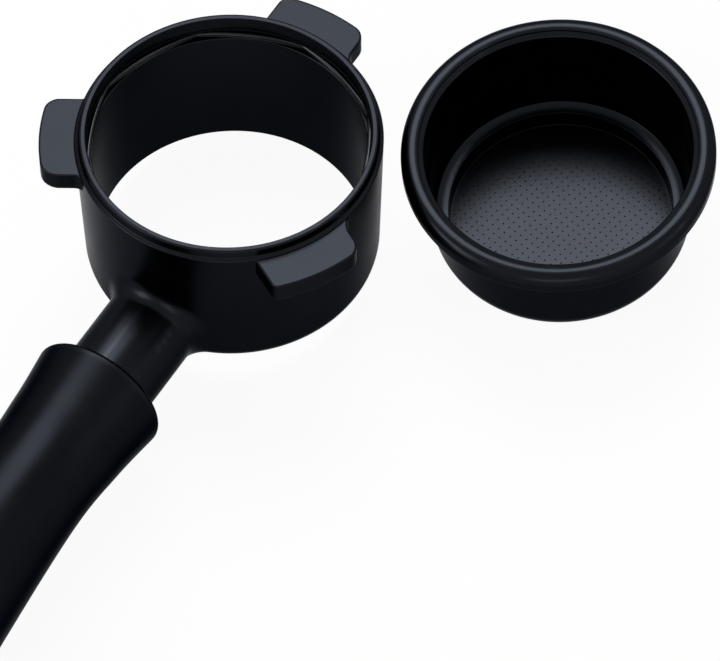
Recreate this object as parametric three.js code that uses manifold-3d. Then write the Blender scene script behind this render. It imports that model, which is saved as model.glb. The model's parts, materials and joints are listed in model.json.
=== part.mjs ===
// A three-lug bottomless portafilter as it lies on a worktop, and its filter basket,
// taken out and stood beside it. Millimetres, +Z up, handle towards -Y.
//
// The holder is drawn about its ring's axis, with the ring's foot at z = 0 and the
// handle level. It is then tipped to the pose in which it really lies: on the far edge
// of the ring's foot and on the underside of the grip. The origin of the whole part is
// at the bottom centre of its bounding box.

import * as THREE from "three";
import { mergeVertices } from "three/addons/utils/BufferGeometryUtils.js";
import Module from "manifold-3d";

const wasm = await Module();
wasm.setup();

// ---------------------------------------------------------------- driving dimensions

const CLEARANCE = 0.3; // between two pieces that touch
const SUNK = 1; // how far a joined piece or a cutter runs past the face it meets
const DEG = Math.PI / 180;
const ROUND_STEPS = 48; // facets around the ring and the basket
const SMALL_STEPS = 24; // facets around the handle's pieces

const ring = {
  height: 36.4,
  rimBore: 28.8, // radius of the seat that the basket's neck fits
  rimBoreDepth: 3.5,
  ledge: 1.0, // step in from the seat to the through bore
  footWall: 2.4, // wall thickness just above the rounded foot
  footFace: 0.2, // width of the flat left under the wall
  footRound: 3.4, // height of the rounded foot
  rimFace: 1.1, // width of the flat on top of the rim
  shoulderWidth: 1.2, // the rounded shoulder outside that flat
  shoulderHeight: 2.0,
};

const spring = {
  wireRadius: 0.6,
  dip: 1.0, // how far each side bows in from its kinks
  sides: 8,
  openFrom: -78, // degrees, the gap between the wire's ends
  openTo: -58,
};

const lug = {
  count: 3,
  firstAngle: 90, // degrees, opposite the handle
  drop: 2.4, // rim's top to lug's top
  thickness: 4.5,
  projection: 7.2, // beyond the rim
  halfWidth: 9.8,
  cornerRound: 2.6,
  rootRound: 2.0,
};

const neck = {
  height: 6.8, // handle's axis above the ring's foot
  radius: 9.6,
  shown: 18.9, // from the rim's edge to the grip's mouth
  inGrip: 8.0, // length of round neck inside the grip
  hexRadius: 6.5, // across corners, divided by two
  hexLength: 18.0,
  threadDepth: 16.0,
};

const grip = {
  length: 118.0,
  mouthRadius: 14.1,
  mouthRound: 1.1,
  waistRadius: 12.4,
  waistAt: 28.0, // from the mouth
  bellyRadius: 18.0,
  bellyAt: 90.0,
  capWall: 1.4, // wall left round the cap at the far end
};

const sealRing = { section: 0.75, fromMouth: 4.6 };

const bolt = {
  radius: 3.0,
  headRadius: 5.0,
  headHeight: 6.0,
  socketRadius: 2.9,
  socketDepth: 3.0,
  washerRadius: 6.2,
  washerThickness: 1.2,
  springWasherRadius: 5.4,
  springWasherThickness: 1.4,
  springWasherGap: 1.6,
  seatFromEnd: 28.0, // counterbore's floor, from the grip's far end
};

const cap = { radius: 9.0, seat: 5.0, dome: 0.8, plugLength: 5.0 };

const basket = {
  height: 28.0,
  sheet: 0.8,
  flangeProud: 0.8, // flange's radius beyond the rim's
  skirt: 4.3, // height of the flange
  topFit: 0.8, // radius left in the rim's bore
  baseFit: 1.15, // radius left in the through bore, at the base
  cornerWidth: 4.0,
  cornerHeight: 5.5,
  flangeRound: 2.15, // radius of the flange's outer edge
  lipRound: 0.9, // radius of its inner edge
  stepHeight: 5.0, // height of the step inside
  stepIn: 3.6, // how far its inner edge stands in from the base's outside
  stepRise: 0.4, // what it climbs towards the wall
  standOff: 4.6, // between its flange and the holder's rim
  standAngle: 34.3, // degrees, its direction from the ring's axis
};

// ------------------------------------------------------------------------- materials

const finish = (color, roughness, metalness) =>
  new THREE.MeshStandardMaterial({ color, roughness, metalness });
const blackCoat = finish(0x15171c, 0.42, 0.5);
const blackBasket = finish(0x17191e, 0.4, 0.6);
const blackPlastic = finish(0x121317, 0.45, 0.0);
const springSteel = finish(0xb9bcc2, 0.25, 1.0);
const zincSteel = finish(0xa9abad, 0.35, 1.0);
const blackRubber = finish(0x0d0d0e, 0.8, 0.0);

// -------------------------------------------------------------------- shape helpers

const point = (x, y) => new THREE.Vector2(x, y);

// Points along a quarter of an ellipse, from angle a to angle b in degrees.
function ellipseArc(cx, cy, rx, ry, a, b, steps = 4) {
  const points = [];
  for (let i = 0; i <= steps; i += 1) {
    const t = (a + ((b - a) * i) / steps) * DEG;
    points.push(point(cx + rx * Math.cos(t), cy + ry * Math.sin(t)));
  }
  return points;
}

// Shared vertices merged, flat triangles dropped and faces turned outwards.
function closed(geometry) {
  const bare = geometry.clone();
  bare.deleteAttribute("normal");
  bare.deleteAttribute("uv");
  const merged = mergeVertices(bare, 1e-4);
  const place = merged.getAttribute("position");
  const corner = (i) => new THREE.Vector3().fromBufferAttribute(place, i);
  const kept = [];
  let volume = 0;
  for (let i = 0; i < merged.index.count; i += 3) {
    const [a, b, c] = [0, 1, 2].map((k) => merged.index.getX(i + k));
    if (a !== b && b !== c && c !== a) {
      kept.push([a, b, c]);
      volume += corner(a).dot(corner(b).cross(corner(c)));
    }
  }
  merged.setIndex(kept.flatMap(([a, b, c]) => (volume > 0 ? [a, b, c] : [a, c, b])));
  return merged;
}

// A solid of revolution from (radius, height) points, about Z.
function revolve(points, steps = ROUND_STEPS) {
  return closed(new THREE.LatheGeometry(points, steps).rotateX(Math.PI / 2));
}

// A solid of revolution from (radius, distance) points, about the handle's axis.
function turned(points, steps = SMALL_STEPS) {
  const geometry = new THREE.LatheGeometry(points, steps).rotateX(Math.PI);
  return closed(geometry.translate(0, 0, neck.height));
}

// A six-sided bar along the handle's axis, between two distances from the ring's axis.
function hexBar(radius, from, to) {
  const bar = new THREE.CylinderGeometry(radius, radius, to - from, 6);
  return closed(bar.translate(0, -(from + to) / 2, neck.height));
}

function solid(geometry) {
  return new wasm.Manifold(
    new wasm.Mesh({
      numProp: 3,
      vertProperties: new Float32Array(geometry.getAttribute("position").array),
      triVerts: new Uint32Array(geometry.index.array),
    }),
  );
}

function geometryOf(manifold) {
  const { vertProperties, triVerts } = manifold.getMesh();
  const geometry = new THREE.BufferGeometry();
  geometry.setAttribute("position", new THREE.BufferAttribute(vertProperties, 3));
  geometry.setIndex(new THREE.BufferAttribute(triVerts, 1));
  return geometry;
}

const joined = (pieces) => pieces.map(solid).reduce((a, b) => a.add(b));
const cut = (body, cutters) => cutters.map(solid).reduce((a, b) => a.subtract(b), body);

function named(name, geometry, material) {
  const mesh = new THREE.Mesh(geometry, material);
  mesh.name = name;
  return mesh;
}

// ---------------------------------------------------------------------- holder body

const throughBore = ring.rimBore - ring.ledge;
const footRadius = throughBore + ring.footWall;
const rimFlat = ring.rimBore + ring.rimFace;
const rimRadius = rimFlat + ring.shoulderWidth;
const gripStart = rimRadius + neck.shown;
const grooveTop = ring.height - ring.rimBoreDepth;
const grooveRadius = ring.rimBore + 2 * spring.wireRadius;
const grooveFloor = grooveTop - 2 * (spring.wireRadius + CLEARANCE);
const footInner = throughBore + ring.footFace;

const ringOutline = [
  point(0, 0),
  ...ellipseArc(footInner, ring.footRound, footRadius - footInner, ring.footRound, -90, 0),
  ...ellipseArc(
    rimFlat,
    ring.height - ring.shoulderHeight,
    rimRadius - rimFlat,
    ring.shoulderHeight,
    0,
    90,
  ),
  point(0, ring.height),
];

const boreOutline = [
  point(0, -neck.radius),
  point(throughBore, -neck.radius),
  point(throughBore, grooveFloor),
  point(grooveRadius, grooveFloor),
  point(grooveRadius, grooveTop),
  point(ring.rimBore, grooveTop),
  point(ring.rimBore, ring.height + SUNK),
  point(0, ring.height + SUNK),
];

// One lug, drawn along +X with its root sunk into the ring's wall.
function lugBlank(angle) {
  const { halfWidth, cornerRound, rootRound, thickness } = lug;
  const reach = rimRadius + lug.projection;
  const rootHalf = halfWidth + rootRound;
  const wallX = Math.sqrt(rimRadius ** 2 - rootHalf ** 2);
  const cornerX = Math.sqrt(reach ** 2 - halfWidth ** 2);
  const arc = Math.asin(halfWidth / reach) - cornerRound / reach;
  const insideX = Math.sqrt(((grooveRadius + rimRadius) / 2) ** 2 - rootHalf ** 2);
  const shape = new THREE.Shape();
  shape.moveTo(insideX, -rootHalf);
  shape.lineTo(wallX, -rootHalf);
  shape.quadraticCurveTo(wallX, -halfWidth, wallX + rootRound, -halfWidth);
  shape.lineTo(cornerX - cornerRound, -halfWidth);
  shape.quadraticCurveTo(cornerX, -halfWidth, reach * Math.cos(arc), -reach * Math.sin(arc));
  shape.absarc(0, 0, reach, -arc, arc, false);
  shape.quadraticCurveTo(cornerX, halfWidth, cornerX - cornerRound, halfWidth);
  shape.lineTo(wallX + rootRound, halfWidth);
  shape.quadraticCurveTo(wallX, halfWidth, wallX, rootHalf);
  shape.lineTo(insideX, rootHalf);
  const options = { depth: thickness, bevelEnabled: false, curveSegments: 5 };
  const blank = new THREE.ExtrudeGeometry(shape, options);
  blank.translate(0, 0, ring.height - lug.drop - thickness);
  return closed(blank.rotateZ(angle * DEG));
}

const neckEnd = gripStart + neck.inGrip;
const hexEnd = neckEnd + neck.hexLength;
const sealAt = gripStart + sealRing.fromMouth;
const sealHalf = sealRing.section + CLEARANCE;
const socketRadius = neck.radius + CLEARANCE;
const sealGroove = socketRadius - 2 * (sealRing.section + CLEARANCE);

const neckStart = Math.sqrt(throughBore ** 2 - neck.radius ** 2) - SUNK;
const neckOutline = [
  point(0, neckStart),
  point(neck.radius, neckStart),
  point(neck.radius, sealAt - sealHalf),
  point(sealGroove, sealAt - sealHalf),
  point(sealGroove, sealAt + sealHalf),
  point(neck.radius, sealAt + sealHalf),
  point(neck.radius, neckEnd),
  point(0, neckEnd),
];

const threadRadius = bolt.radius + CLEARANCE;
const threadOutline = [
  point(0, hexEnd - neck.threadDepth),
  point(threadRadius, hexEnd - neck.threadDepth),
  point(threadRadius, hexEnd + SUNK),
  point(0, hexEnd + SUNK),
];

function holderBody() {
  const lugs = Array.from({ length: lug.count }, (_, i) =>
    lugBlank(lug.firstAngle + (i * 360) / lug.count),
  );
  const casting = joined([
    revolve(ringOutline),
    ...lugs,
    turned(neckOutline),
    hexBar(neck.hexRadius, neckEnd - SUNK, hexEnd),
  ]);
  return geometryOf(cut(casting, [revolve(boreOutline), turned(threadOutline)]));
}

// ----------------------------------------------------------------- retaining spring

// Wire sprung into the groove: it touches the groove at its kinks and bows in between.
class SpringPath extends THREE.Curve {
  getPoint(t) {
    const degrees = spring.openTo + t * (360 + spring.openFrom - spring.openTo);
    const side = 360 / spring.sides;
    const along = (((degrees % side) + side) % side) / (side / 2) - 1;
    const kink = grooveRadius - spring.wireRadius - CLEARANCE;
    const radius = kink - spring.dip * (1 - along ** 2);
    const height = (grooveTop + grooveFloor) / 2;
    const angle = degrees * DEG;
    return new THREE.Vector3(radius * Math.cos(angle), radius * Math.sin(angle), height);
  }
}

function retainingSpring() {
  const section = new THREE.Shape().absarc(0, 0, spring.wireRadius, 0, 2 * Math.PI, false);
  const options = { steps: 64, curveSegments: 4, extrudePath: new SpringPath() };
  return closed(new THREE.ExtrudeGeometry(section, options));
}

// ------------------------------------------------------------------------- the grip

const gripEnd = gripStart + grip.length;
const boltSeat = gripEnd - bolt.seatFromEnd;
const boltHole = bolt.radius + CLEARANCE;
const counterbore = bolt.washerRadius + 1.3;
const capRecess = cap.radius + CLEARANCE;
const endRadius = capRecess + grip.capWall;

// The side of the grip from the mouth to the end: waist, belly and rounded end.
function gripSide() {
  const { length, mouthRadius, mouthRound, waistRadius, waistAt, bellyRadius, bellyAt } = grip;
  const swell = bellyRadius - waistRadius;
  const tail = length - bellyAt;
  const side = new THREE.SplineCurve([
    point(mouthRadius, gripStart + mouthRound),
    point(mouthRadius - 0.7 * (mouthRadius - waistRadius), gripStart + 0.45 * waistAt),
    point(waistRadius, gripStart + waistAt),
    point(waistRadius + 0.4 * swell, gripStart + waistAt + 0.47 * (bellyAt - waistAt)),
    point(bellyRadius, gripStart + bellyAt),
    point(bellyRadius - 0.28 * (bellyRadius - endRadius), gripStart + bellyAt + 0.62 * tail),
    point(endRadius, gripStart + length),
  ]);
  const mouth = ellipseArc(
    mouthRadius - mouthRound, gripStart + mouthRound, mouthRound, mouthRound, -90, 0, 3,
  );
  return [...mouth, ...side.getPoints(24).slice(1)];
}

const gripOutline = [point(0, gripStart), ...gripSide(), point(0, gripEnd)];

const gripBore = [
  point(0, gripStart - SUNK),
  point(socketRadius, gripStart - SUNK),
  point(socketRadius, neckEnd + CLEARANCE),
  point(boltHole, neckEnd + CLEARANCE),
  point(boltHole, boltSeat),
  point(counterbore, boltSeat),
  point(counterbore, gripEnd - cap.seat),
  point(capRecess, gripEnd - cap.seat),
  point(capRecess, gripEnd + SUNK),
  point(0, gripEnd + SUNK),
];

function handleGrip() {
  const hexSocket = hexBar(neck.hexRadius + 2 * CLEARANCE, neckEnd, hexEnd + CLEARANCE);
  const blank = solid(turned(gripOutline));
  return geometryOf(cut(blank, [turned(gripBore), hexSocket]));
}

function neckSeal() {
  const middle = (sealGroove + socketRadius) / 2;
  const { section } = sealRing;
  return turned(ellipseArc(middle, sealAt, section, section, 0, 360, 10));
}

// ------------------------------------------------------- bolt, washers and end cap

const washerFrom = boltSeat + CLEARANCE;
const springWasherFrom = washerFrom + bolt.washerThickness + CLEARANCE;
const headFrom = springWasherFrom + bolt.springWasherThickness + CLEARANCE;
const headTo = headFrom + bolt.headHeight;

// A flat ring about the handle's axis, with a square section.
function flatRing(inner, outer, from, to) {
  return turned([
    point(inner, from),
    point(outer, from),
    point(outer, to),
    point(inner, to),
    point(inner, from),
  ]);
}

function tieBolt() {
  const tip = hexEnd - neck.threadDepth + CLEARANCE;
  const blank = solid(
    turned([
      point(0, tip),
      point(bolt.radius, tip),
      point(bolt.radius, headFrom),
      point(bolt.headRadius, headFrom),
      point(bolt.headRadius, headTo),
      point(0, headTo),
    ]),
  );
  const socket = hexBar(bolt.socketRadius, headTo - bolt.socketDepth, headTo + SUNK);
  return geometryOf(cut(blank, [socket]));
}

function springWasher() {
  const from = springWasherFrom;
  const to = from + bolt.springWasherThickness;
  const whole = solid(flatRing(boltHole, bolt.springWasherRadius, from, to));
  const gap = new THREE.BoxGeometry(bolt.springWasherGap, 3 * (to - from), 2 * bolt.washerRadius);
  gap.translate(0, -(from + to) / 2, neck.height + bolt.washerRadius);
  return geometryOf(cut(whole, [closed(gap)]));
}

function endCap() {
  const seat = gripEnd - cap.seat + CLEARANCE;
  const plug = counterbore - CLEARANCE;
  return turned([
    point(0, seat - cap.plugLength),
    point(plug, seat - cap.plugLength),
    point(plug, seat),
    point(cap.radius, seat),
    ...ellipseArc(0, gripEnd, cap.radius, cap.dome, 0, 90, 5),
  ]);
}

// ----------------------------------------------------------------------- the basket

const flangeRadius = rimRadius + basket.flangeProud;

// One pressed sheet: flat base, a step inside it, a tapered wall, and a flange turned out and
// down with a flat top.
function filterBasket() {
  const { height, sheet, skirt, cornerWidth, cornerHeight, flangeRound, lipRound } = basket;
  const topRadius = ring.rimBore - basket.topFit;
  const baseRadius = throughBore - basket.baseFit;
  const flat = baseRadius - cornerWidth;
  const flangeAt = flangeRadius - flangeRound;
  const flangeHeight = height - flangeRound;
  const under = flangeRound - sheet;
  const lipAt = topRadius - sheet + lipRound;
  const stepEdge = baseRadius - basket.stepIn;
  const stepTop = basket.stepHeight + basket.stepRise;
  return revolve([
    point(0, 0),
    ...ellipseArc(flat, cornerHeight, cornerWidth, cornerHeight, -90, 0),
    point(topRadius, height - lipRound),
    point(lipAt, height - sheet),
    ...ellipseArc(flangeAt, flangeHeight, under, under, 90, 0, 4),
    point(flangeRadius - sheet, height - skirt),
    point(flangeRadius, height - skirt),
    ...ellipseArc(flangeAt, flangeHeight, flangeRound, flangeRound, 0, 90, 6),
    ...ellipseArc(lipAt, height - lipRound, lipRound, lipRound, 90, 180, 3),
    point(baseRadius - sheet - 0.2, stepTop),
    point(stepEdge, basket.stepHeight),
    point(stepEdge, sheet),
    point(0, sheet),
  ]);
}

// ------------------------------------------------------------------------- assembly

// The tilt at which the grip's underside and the ring's far foot both touch the worktop.
function restingTilt() {
  const foot = ringOutline.filter((p) => p.y < ring.height / 2 && p.x > 0);
  const tilts = gripSide().map((g) =>
    Math.min(...foot.map((f) => Math.atan2(f.y - (neck.height - g.x), f.x + g.y))),
  );
  return Math.max(...tilts);
}

function lowestFoot(tilt) {
  const foot = ringOutline.filter((p) => p.x > 0);
  return Math.min(...foot.map((f) => f.y * Math.cos(tilt) - f.x * Math.sin(tilt)));
}

const holder = new THREE.Group();
holder.add(
  named("holder_body", holderBody(), blackCoat),
  named("retaining_spring", retainingSpring(), springSteel),
  named("handle_grip", handleGrip(), blackPlastic),
  named("neck_seal", neckSeal(), blackRubber),
  named("tie_bolt", tieBolt(), zincSteel),
  named(
    "flat_washer",
    flatRing(boltHole, bolt.washerRadius, washerFrom, washerFrom + bolt.washerThickness),
    zincSteel,
  ),
  named("spring_washer", springWasher(), zincSteel),
  named("end_cap", endCap(), blackPlastic),
);
const tilt = restingTilt();
holder.rotation.x = -tilt;
holder.position.z = -lowestFoot(tilt);

const filter = named("filter_basket", filterBasket(), blackBasket);
const standRadius = rimRadius + basket.standOff + flangeRadius;
const standAngle = basket.standAngle * DEG;
filter.position.set(standRadius * Math.cos(standAngle), standRadius * Math.sin(standAngle), 0);

const group = new THREE.Group();
group.add(holder, filter);
group.updateMatrixWorld(true);

const bounds = new THREE.Box3().setFromObject(group, true);
const middle = bounds.getCenter(new THREE.Vector3());
group.position.set(-middle.x, -middle.y, -bounds.min.z);
group.updateMatrixWorld(true);

export default group;
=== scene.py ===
"""A three-lug bottomless portafilter and its filter basket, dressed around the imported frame.

Sizes are millimetres. A holder piece is drawn about its ring's axis, with the ring's foot at
height zero and the handle level, running towards -Y. The basket is drawn about its own axis,
with its base at height zero. A Placement carries either of them into the row frame, in metres.
"""

import json
import logging
import math
from dataclasses import dataclass
from enum import Enum
from functools import cached_property
from typing import Callable, Iterator, Sequence

import bpy
import numpy as np
from mathutils import Matrix, Vector


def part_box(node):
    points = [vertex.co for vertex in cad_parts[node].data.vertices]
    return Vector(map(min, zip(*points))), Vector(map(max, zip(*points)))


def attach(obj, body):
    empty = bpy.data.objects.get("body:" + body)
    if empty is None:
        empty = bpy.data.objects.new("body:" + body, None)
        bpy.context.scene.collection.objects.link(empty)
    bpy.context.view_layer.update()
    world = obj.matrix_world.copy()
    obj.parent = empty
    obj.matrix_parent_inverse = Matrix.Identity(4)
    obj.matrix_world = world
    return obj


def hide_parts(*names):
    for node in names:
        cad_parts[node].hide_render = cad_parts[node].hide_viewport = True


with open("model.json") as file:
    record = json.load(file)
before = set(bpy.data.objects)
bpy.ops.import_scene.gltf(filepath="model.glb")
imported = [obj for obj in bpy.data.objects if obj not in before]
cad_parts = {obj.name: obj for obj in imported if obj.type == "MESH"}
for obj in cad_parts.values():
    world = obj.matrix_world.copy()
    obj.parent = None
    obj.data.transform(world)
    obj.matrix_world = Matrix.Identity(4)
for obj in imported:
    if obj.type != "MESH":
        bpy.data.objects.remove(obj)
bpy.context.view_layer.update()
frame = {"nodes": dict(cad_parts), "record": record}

LOG = logging.getLogger("portafilter")
MM = 0.001
TINY = 1e-9  # keeps a division away from zero

Array = np.ndarray
Pair = tuple[float, float]
Colour = tuple[float, float, float]
Distance = Callable[..., Array]


class Slot(Enum):
    """The record's finishes."""

    BLACK_COAT = "black_coat"
    BASKET_COAT = "basket_coat"
    BLACK_PLASTIC = "black_plastic"
    BLACK_RUBBER = "black_rubber"
    SPRING_STEEL = "spring_steel"
    ZINC_STEEL = "zinc_steel"


class Body(Enum):
    """The bodies that the frame moves."""

    HOLDER = "holder"
    BASKET = "basket"


class Axis(Enum):
    """The line that a turned piece is turned about."""

    UPRIGHT = "upright"
    HANDLE = "handle"


# ------------------------------------------------------------------------ outlines


@dataclass(frozen=True)
class Corner:
    """A corner of an outline: its place, and the radius that rounds it."""

    across: float
    along: float
    radius: float = 0.12


@dataclass(frozen=True)
class Outline:
    """Points of a section and, at each, the direction that faces out of the material.

    The section is walked with its material on the left, so a closed one runs anticlockwise.
    """

    points: Array
    directions: Array
    closed: bool = True

    @staticmethod
    def rounded(corners: Sequence[Corner], closed: bool = True, steps: int = 6) -> "Outline":
        """Rounds every corner of a section with an arc.

        Args:
            corners: the corners in order, with the material on the left.
            closed: whether the last corner is joined to the first.
            steps: facets in each arc.

        Returns:
            The rounded section.
        """
        places = np.array([(c.across, c.along) for c in corners], float)
        points: list[Array] = []
        ways: list[Array] = []
        last = len(corners) - 1
        for i, corner in enumerate(corners):
            at_end = not closed and i in (0, last)
            into = _unit(places[i] - places[i - 1])
            out = _unit(places[(i + 1) % len(places)] - places[i])
            if at_end:
                way = out if i == 0 else into
                points.append(places[i])
                ways.append(_right_of(way))
                continue
            turn = math.atan2(into[0] * out[1] - into[1] * out[0], float(into @ out))
            reach = corner.radius * math.tan(abs(turn) / 2)
            side = math.copysign(corner.radius, turn)
            start = places[i] - reach * into
            centre = start - side * _right_of(into)
            first = math.atan2(into[1], into[0])
            for k in range(steps + 1):
                heading = first + turn * k / steps
                right = np.array([math.sin(heading), -math.cos(heading)])
                points.append(centre + side * right)
                ways.append(right)
        return Outline(np.array(points), np.array(ways), closed)

    @staticmethod
    def smooth(points: Array, closed: bool = False) -> "Outline":
        """An outline through points that already lie close together on a smooth line.

        Args:
            points: the points in order, with the material on the left.
            closed: whether the last point is joined to the first.

        Returns:
            The outline, facing square to the line between each point's neighbours.
        """
        before = np.roll(points, 1, axis=0)
        after = np.roll(points, -1, axis=0)
        if not closed:
            before[0] = points[0]
            after[-1] = points[-1]
        way = after - before
        way /= np.linalg.norm(way, axis=1, keepdims=True) + TINY
        return Outline(points, np.stack([way[:, 1], -way[:, 0]], axis=1), closed)

    def then(self, other: "Outline", closed: bool = False) -> "Outline":
        """This outline followed by another one."""
        return Outline(
            np.vstack([self.points, other.points]),
            np.vstack([self.directions, other.directions]),
            closed,
        )

    def distance(self, across: Array, along: Array) -> Array:
        """Signed distance from the closed outline, negative inside it.

        Args:
            across: how far each place lies across the section.
            along: how far it lies along it.

        Returns:
            The distance at each place.
        """
        shape = np.broadcast(across, along).shape
        nearest = np.full(shape, np.inf)
        inside = np.zeros(shape, bool)
        for (ax, ay), (bx, by) in zip(self.points, np.roll(self.points, -1, axis=0)):
            ex, ey = bx - ax, by - ay
            length = ex * ex + ey * ey
            if length < TINY:
                continue
            wx, wy = across - ax, along - ay
            t = np.clip((wx * ex + wy * ey) / length, 0, 1)
            nearest = np.minimum(nearest, (wx - ex * t) ** 2 + (wy - ey * t) ** 2)
            if abs(ey) > TINY:
                inside ^= ((ay > along) != (by > along)) & (wx < ex * wy / ey)
        return np.where(inside, -1.0, 1.0) * np.sqrt(nearest)


def _unit(way: Array) -> Array:
    """The same direction, one long."""
    return way / (np.linalg.norm(way) + TINY)


def _right_of(way: Array) -> Array:
    """The direction a quarter turn clockwise of this one."""
    return np.array([way[1], -way[0]])


def arc(centre: Pair, radii: Pair, span: Pair, steps: int = 10) -> Array:
    """Points along part of an ellipse.

    Args:
        centre: its centre, across and along.
        radii: its half widths, across and along.
        span: the first and last angle in degrees.
        steps: facets between them.

    Returns:
        The points, one row each.
    """
    angle = np.radians(np.linspace(span[0], span[1], steps + 1))
    return np.stack(
        [centre[0] + radii[0] * np.cos(angle), centre[1] + radii[1] * np.sin(angle)], axis=1
    )


# --------------------------------------------------------------- solids as distances


def union_round(a: Array, b: Array, radius: float | Array) -> Array:
    """Two solids joined, with a fillet of that radius in the corner between them."""
    hollow = np.hypot(np.maximum(radius - a, 0), np.maximum(radius - b, 0))
    return np.maximum(radius, np.minimum(a, b)) - hollow


def common_round(a: Array, b: Array, radius: float) -> Array:
    """What two solids share, with that radius on the edge where they meet."""
    swell = np.hypot(np.maximum(radius + a, 0), np.maximum(radius + b, 0))
    return np.minimum(-radius, np.maximum(a, b)) + swell


@dataclass(frozen=True)
class Placement:
    """Where a sub-assembly stands in the row frame: its origin in millimetres, and its tilt."""

    origin: tuple[float, float, float]
    tilt: float = 0.0

    def turn(self, ways: Array) -> Array:
        """Directions of the sub-assembly, in the row frame."""
        c, s = math.cos(self.tilt), math.sin(self.tilt)
        return ways @ np.array([[1, 0, 0], [0, c, s], [0, -s, c]]).T

    def rows(self, points: Array) -> Array:
        """Points of the sub-assembly, in metres in the row frame."""
        return (self.turn(points) + np.array(self.origin)) * MM


@dataclass
class Shell:
    """A closed surface: points, the way out at each, and the faces between them."""

    points: Array
    ways: Array
    faces: list[tuple[int, ...]]

    @staticmethod
    def turned(outline: Outline, turns: int, axis: Axis = Axis.UPRIGHT,
               height: float = 0.0) -> "Shell":
        """A solid of revolution.

        Args:
            outline: its section, as radius and distance along the axis. An open one starts
                and ends on the axis.
            turns: facets around it.
            axis: the line it is turned about.
            height: height of that line, for a piece on the handle.

        Returns:
            The closed surface.
        """
        angle = np.arange(turns) * 2 * math.pi / turns
        cos, sin = np.cos(angle), np.sin(angle)
        points: list[Array] = []
        ways: list[Array] = []
        rings: list[list[int]] = []
        count = 0
        for (radius, along), (out, up) in zip(outline.points, outline.directions):
            if radius < TINY:
                points.append(np.array([[0.0, 0.0, along]]))
                ways.append(np.array([[0.0, 0.0, math.copysign(1.0, up)]]))
                rings.append([count] * turns)
                count += 1
                continue
            points.append(np.stack([radius * cos, radius * sin, np.full(turns, along)], 1))
            ways.append(np.stack([out * cos, out * sin, np.full(turns, up)], 1))
            rings.append(list(range(count, count + turns)))
            count += turns
        pairs = list(zip(rings, rings[1:]))
        if outline.closed:
            pairs.append((rings[-1], rings[0]))
        faces = []
        for low, high in pairs:
            for k in range(turns):
                nxt = (k + 1) % turns
                face = tuple(dict.fromkeys((low[k], low[nxt], high[nxt], high[k])))
                if len(face) > 2:
                    faces.append(face)
        shell = Shell(np.vstack(points), np.vstack(ways), faces)
        if axis is Axis.HANDLE:
            shell.points = _onto_handle(shell.points) + np.array([0.0, 0.0, height])
            shell.ways = _onto_handle(shell.ways)
        return shell

    def joined(self, other: "Shell", gap: float = 0.002) -> "Shell":
        """Both surfaces as one, with points that lie together made one point.

        Args:
            other: the surface that meets this one.
            gap: how far apart such points may lie.

        Returns:
            The joined surface.
        """
        points = np.vstack([self.points, other.points])
        ways = np.vstack([self.ways, other.ways])
        shift = len(self.points)
        faces = self.faces + [tuple(i + shift for i in f) for f in other.faces]
        keys = np.round(points / gap).astype(np.int64)
        _, first, same = np.unique(keys, axis=0, return_index=True, return_inverse=True)
        same = same.reshape(-1)
        merged = [tuple(dict.fromkeys(int(same[i]) for i in f)) for f in faces]
        return Shell(points[first], ways[first], [f for f in merged if len(f) > 2])

    def build(self, name: str, place: Placement, material: bpy.types.Material
              ) -> bpy.types.Object:
        """Makes the mesh object, in place in the row frame, shaded by its own directions.

        Args:
            name: the piece's name.
            place: where its sub-assembly stands.
            material: its finish.

        Returns:
            The object, linked to the scene.
        """
        mesh = bpy.data.meshes.new(name)
        mesh.from_pydata(place.rows(self.points).tolist(), [], self.faces)
        mesh.update()
        mesh.polygons.foreach_set("use_smooth", np.ones(len(mesh.polygons), bool))
        ways = place.turn(self.ways)
        ways = ways / (np.linalg.norm(ways, axis=1, keepdims=True) + TINY)
        mesh.normals_split_custom_set_from_vertices(ways.tolist())
        mesh.materials.append(material)
        piece = bpy.data.objects.new(name, mesh)
        bpy.context.scene.collection.objects.link(piece)
        return piece


def _onto_handle(points: Array) -> Array:
    """Turns a piece drawn about Z so that Z runs along the handle, away from the ring."""
    return np.stack([points[:, 0], -points[:, 2], points[:, 1]], axis=1)


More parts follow.
